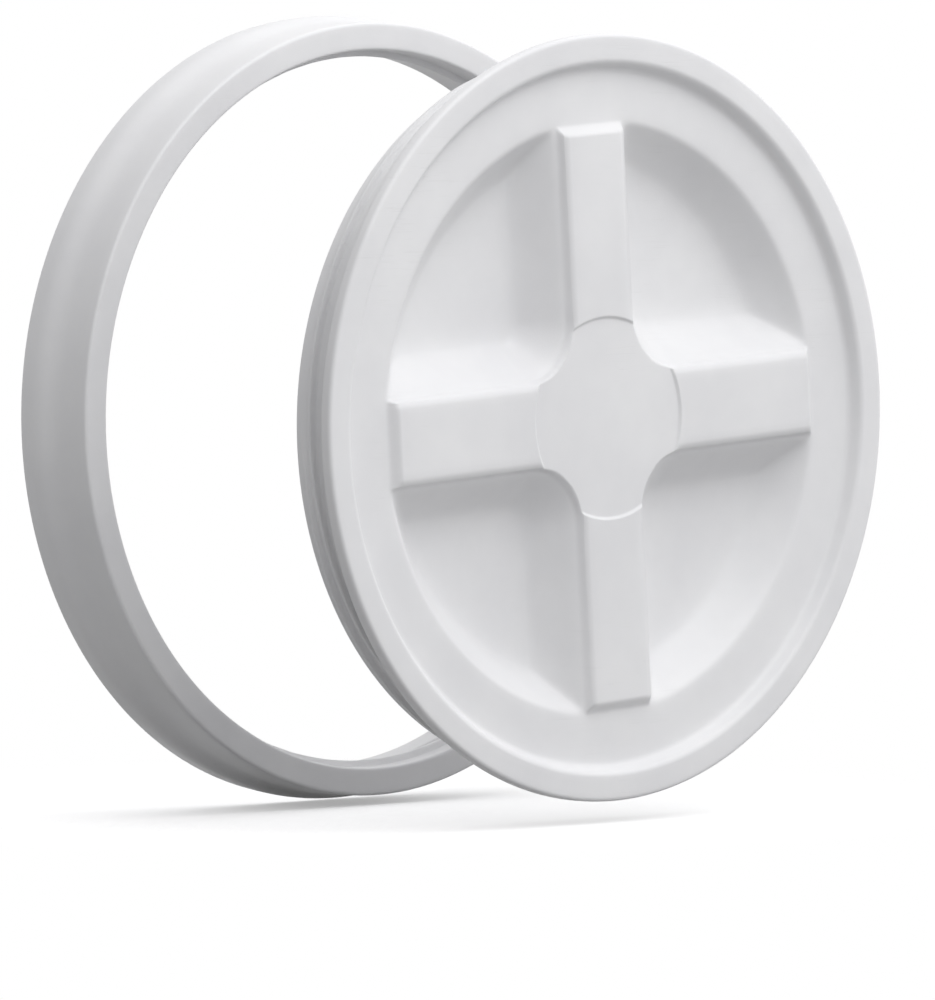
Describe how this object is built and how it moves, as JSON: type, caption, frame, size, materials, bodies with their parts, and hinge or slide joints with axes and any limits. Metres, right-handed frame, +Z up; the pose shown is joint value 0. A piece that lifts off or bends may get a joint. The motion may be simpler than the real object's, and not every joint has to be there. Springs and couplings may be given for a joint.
{
  "type": "screw-top pail closure",
  "caption": "Screw-top closure for a round pail: a push-fit adapter ring with an internal thread and a dished screw lid with a cross grip, each with its seal, with the lid taken off.",
  "frame": {"origin": "on the closure's axis, in the plane where the top of the pail's rim stops against the ring's seal", "axes": "-Y outwards along the closure's axis, the way the lid comes off; +Z up, as in the picture; +X to the right seen from the front"},
  "size_m": [0.326, 0.178, 0.326],
  "materials": {
    "ring_white": "satin moulded polyolefin",
    "lid_white": "satin moulded polyolefin",
    "ring_seal_grey": "matt rubber",
    "lid_seal_grey": "matt rubber"
  },
  "bodies": {
    "ring": {"adapter_ring": "ring_white", "ring_gasket": "ring_seal_grey"},
    "lid_seal": {"lid_gasket": "lid_seal_grey"},
    "lid": {"screw_lid": "lid_white"}
  },
  "joints": [
    {"name": "lid_travel", "type": "slide", "parent": "ring", "child": "lid_seal", "axis": [0, -1, 0], "range_m": [-0.132, 0]},
    {"name": "lid_turn", "type": "hinge", "parent": "lid_seal", "child": "lid", "pos_m": [0, 0, 0], "axis": [0, -1, 0], "range_deg": [-1981, 1]}
  ],
  "couplings": [
    {"joint": "lid_turn", "follows": "lid_travel", "rad_per_m": 261.8}
  ]
}
